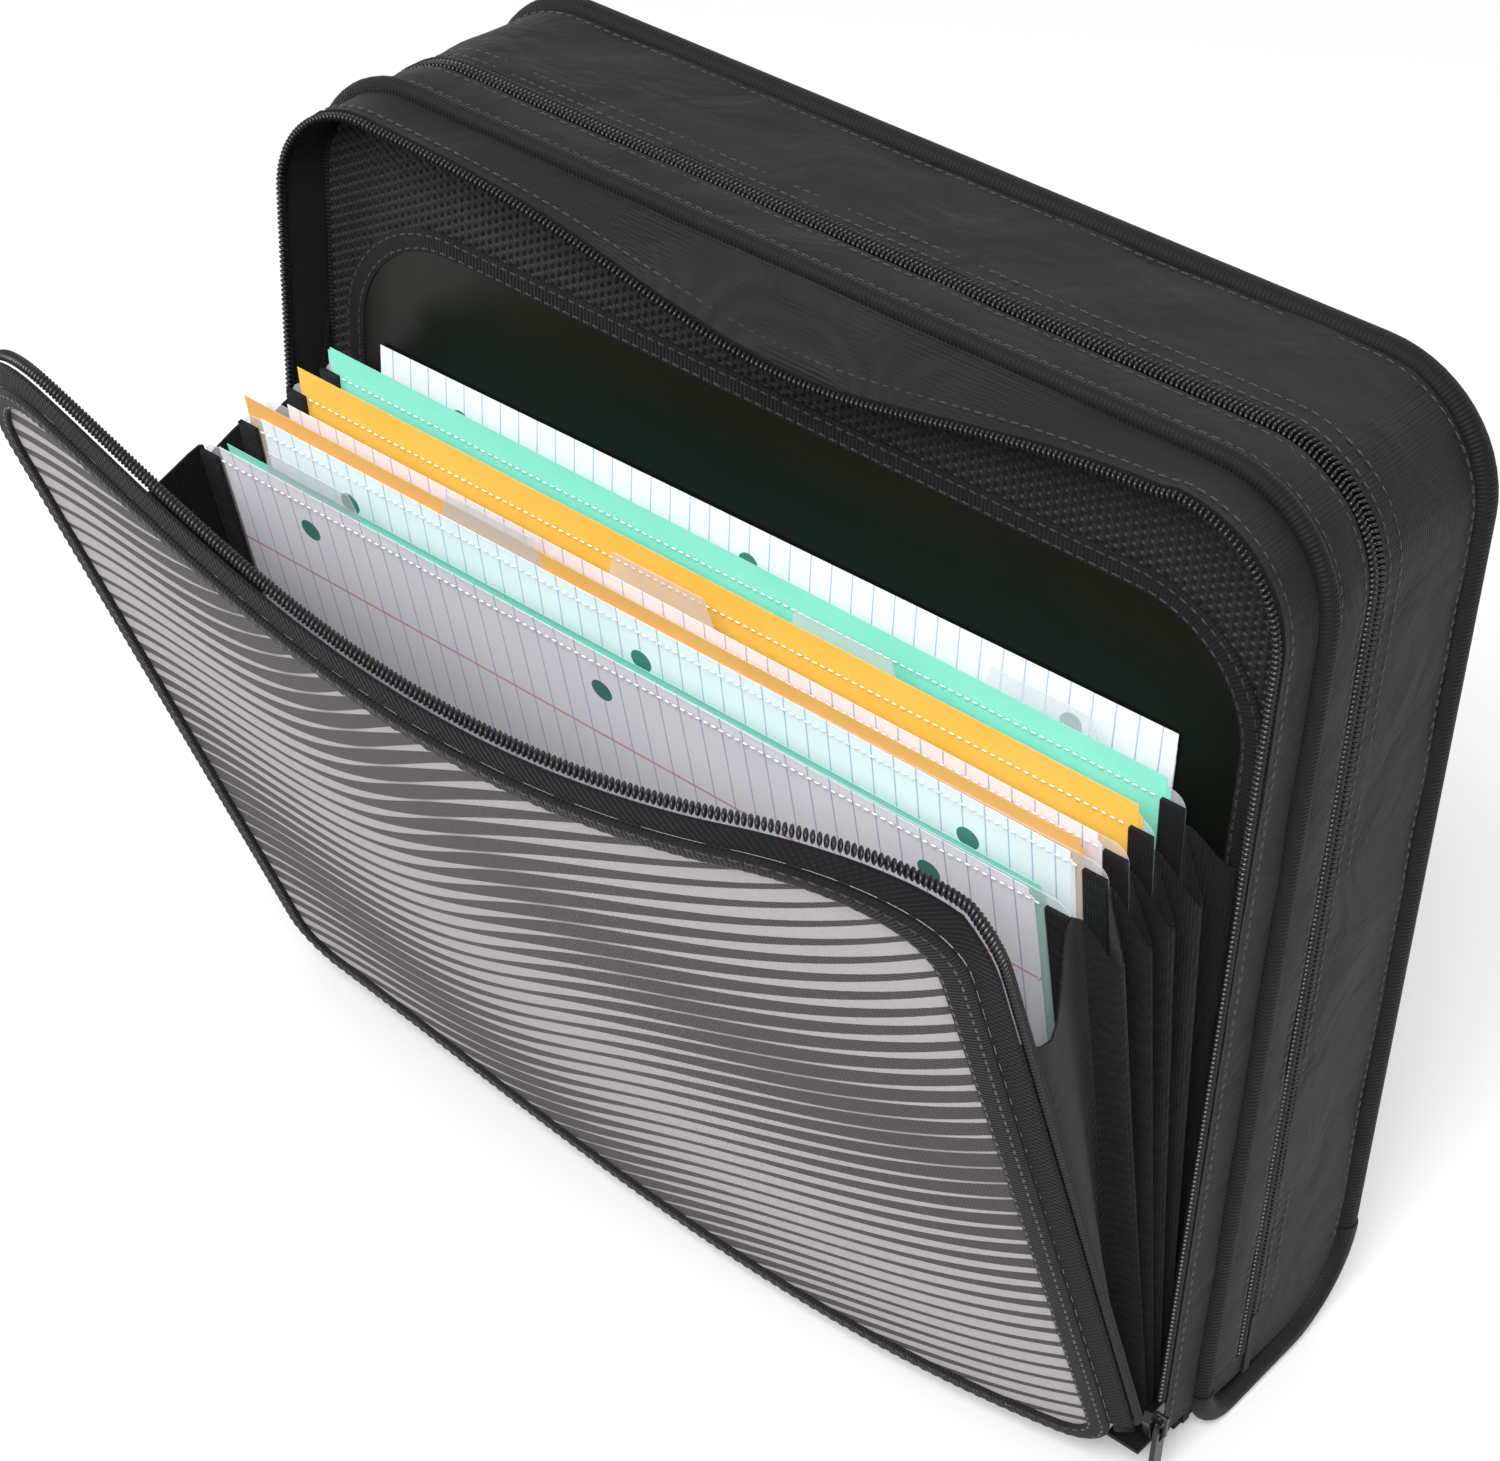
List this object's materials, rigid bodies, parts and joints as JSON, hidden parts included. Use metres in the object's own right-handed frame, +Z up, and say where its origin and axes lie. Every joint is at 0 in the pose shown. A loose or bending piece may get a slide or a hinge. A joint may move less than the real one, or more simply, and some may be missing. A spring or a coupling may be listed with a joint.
{
  "type": "zippered ring binder",
  "caption": "Black cloth zip-round ring binder standing on its spine, with an expanding file pocket of tabbed dividers open at the front.",
  "frame": {"origin": "middle of the spine's underside, on the table below the middle of the ring compartment", "axes": "+X along the spine to the viewer's right from the front, +Y towards the rear cover, +Z up towards the free edge of the covers"},
  "size_m": [0.3475, 0.2466, 0.317],
  "materials": {
    "case_cloth": "woven, slight sheen",
    "edge_binding": "ribbed tape",
    "zipper_coil": "semi-gloss",
    "slider_metal": "satin black",
    "ring_steel": "plated",
    "print_cloth": "printed plain weave",
    "print_ink": "printed plain weave",
    "window_film": "tinted, glossy",
    "divider_poly": "frosted, translucent",
    "white_paper": "uncoated",
    "mint_paper": "uncoated",
    "orange_card": "uncoated",
    "yellow_card": "uncoated"
  },
  "bodies": {
    "case_spine": {"spine": "case_cloth", "spine_binding_left": "edge_binding", "spine_binding_right": "edge_binding", "end_gusset_left": "case_cloth", "end_gusset_right": "case_cloth", "ring_plate": "ring_steel", "ring_rivet_left": "ring_steel", "ring_rivet_right": "ring_steel"},
    "case_front": {"front_cover": "case_cloth", "front_cover_binding": "edge_binding", "front_wall": "case_cloth", "zipper_row_front": "zipper_coil", "pocket_lining": "case_cloth", "window_binding": "edge_binding", "window_film": "window_film", "pocket_band": "case_cloth", "pocket_zipper_row": "zipper_coil", "pocket_floor": "case_cloth", "pocket_slider": "slider_metal", "ruled_sheets_5": "white_paper", "pleats_left": "case_cloth", "pleats_right": "case_cloth"},
    "case_rear": {"rear_cover": "case_cloth", "rear_cover_binding": "edge_binding", "rear_wall": "case_cloth", "zipper_row_rear": "zipper_coil"},
    "pocket_front": {"front_panel": "print_cloth", "front_panel_binding": "edge_binding", "front_zipper_tape": "case_cloth", "panel_zipper_row": "zipper_coil", "print_stripes": "print_ink"},
    "leaf_1": {"divider_1": "divider_poly", "ruled_sheets_1": "white_paper", "mint_sheet": "mint_paper"},
    "leaf_2": {"divider_2": "divider_poly", "ruled_sheets_2": "white_paper", "orange_folder": "orange_card"},
    "leaf_3": {"divider_3": "divider_poly", "ruled_sheets_3": "white_paper"},
    "leaf_4": {"divider_4": "divider_poly", "yellow_folder": "yellow_card", "ruled_sheets_4": "white_paper"},
    "leaf_5": {"divider_5": "divider_poly", "mint_folder_1": "mint_paper", "mint_folder_2": "mint_paper"},
    "ring_half_front": {"half_rings_front": "ring_steel"},
    "ring_half_rear": {"half_rings_rear": "ring_steel"},
    "lever_left": {"ring_lever_left": "slider_metal"},
    "lever_right": {"ring_lever_right": "slider_metal"},
    "main_slider": {"main_slider": "slider_metal"},
    "main_slider_pull": {"main_slider_pull": "slider_metal"},
    "pocket_slider_pull": {"pocket_slider_pull": "slider_metal"}
  },
  "joints": [
    {"name": "front_cover_hinge", "type": "hinge", "parent": "case_spine", "child": "case_front", "pos_m": [0, -0.039, 0], "axis": [1, 0, 0], "range_deg": [0, 90]},
    {"name": "rear_cover_hinge", "type": "hinge", "parent": "case_spine", "child": "case_rear", "pos_m": [0, 0.04, 0.032], "axis": [-1, 0, 0], "range_deg": [0, 90]},
    {"name": "pocket_front_hinge", "type": "hinge", "parent": "case_front", "child": "pocket_front", "pos_m": [0, -0.0633, 0.014], "axis": [-1, 0, 0], "range_deg": [0, 22.2], "deforming": ["pleats_left", "pleats_right"]},
    {"name": "leaf_1_hinge", "type": "hinge", "parent": "case_front", "child": "leaf_1", "pos_m": [0, -0.0536, 0.0145], "axis": [-1, 0, 0], "range_deg": [0, 13.95]},
    {"name": "leaf_2_hinge", "type": "hinge", "parent": "case_front", "child": "leaf_2", "pos_m": [0, -0.0509, 0.0145], "axis": [-1, 0, 0], "range_deg": [0, 10.65]},
    {"name": "leaf_3_hinge", "type": "hinge", "parent": "case_front", "child": "leaf_3", "pos_m": [0, -0.0482, 0.0145], "axis": [-1, 0, 0], "range_deg": [0, 9.15]},
    {"name": "leaf_4_hinge", "type": "hinge", "parent": "case_front", "child": "leaf_4", "pos_m": [0, -0.0455, 0.0145], "axis": [-1, 0, 0], "range_deg": [0, 7.05]},
    {"name": "leaf_5_hinge", "type": "hinge", "parent": "case_front", "child": "leaf_5", "pos_m": [0, -0.0428, 0.0145], "axis": [-1, 0, 0], "range_deg": [0, 4.25]},
    {"name": "ring_half_front_hinge", "type": "hinge", "parent": "case_spine", "child": "ring_half_front", "pos_m": [0, -0.0143, 0.0053], "axis": [1, 0, 0], "range_deg": [0, 15]},
    {"name": "ring_half_rear_hinge", "type": "hinge", "parent": "case_spine", "child": "ring_half_rear", "pos_m": [0, 0.0083, 0.0053], "axis": [-1, 0, 0], "range_deg": [0, 15]},
    {"name": "lever_left_hinge", "type": "hinge", "parent": "case_spine", "child": "lever_left", "pos_m": [-0.147, -0.003, 0.0052], "axis": [0, -1, 0], "range_deg": [0, 25.1]},
    {"name": "lever_right_hinge", "type": "hinge", "parent": "case_spine", "child": "lever_right", "pos_m": [0.147, -0.003, 0.0052], "axis": [0, 1, 0], "range_deg": [0, 25.1]},
    {"name": "main_slider_travel", "type": "slide", "parent": "case_front", "child": "main_slider", "axis": [0, 0, 1], "range_m": [0, 0.2]},
    {"name": "main_pull_hinge", "type": "hinge", "parent": "main_slider", "child": "main_slider_pull", "pos_m": [-0.1736, -0.0146, 0.048], "axis": [0, 1, 0], "range_deg": [0, 150]},
    {"name": "pocket_pull_hinge", "type": "hinge", "parent": "case_front", "child": "pocket_slider_pull", "pos_m": [0.1693, -0.0583, 0.0235], "axis": [0, -1, 0], "range_deg": [0, 150]}
  ],
  "couplings": [
    {"joint": "leaf_1_hinge", "follows": "pocket_front_hinge", "ratio": 0.62613},
    {"joint": "leaf_2_hinge", "follows": "pocket_front_hinge", "ratio": 0.47748},
    {"joint": "leaf_3_hinge", "follows": "pocket_front_hinge", "ratio": 0.40991},
    {"joint": "leaf_4_hinge", "follows": "pocket_front_hinge", "ratio": 0.31532},
    {"joint": "leaf_5_hinge", "follows": "pocket_front_hinge", "ratio": 0.18919},
    {"joint": "ring_half_rear_hinge", "follows": "ring_half_front_hinge", "ratio": 1},
    {"joint": "lever_left_hinge", "follows": "ring_half_front_hinge", "ratio": 1.6666},
    {"joint": "lever_right_hinge", "follows": "ring_half_front_hinge", "ratio": 1.6666}
  ]
}
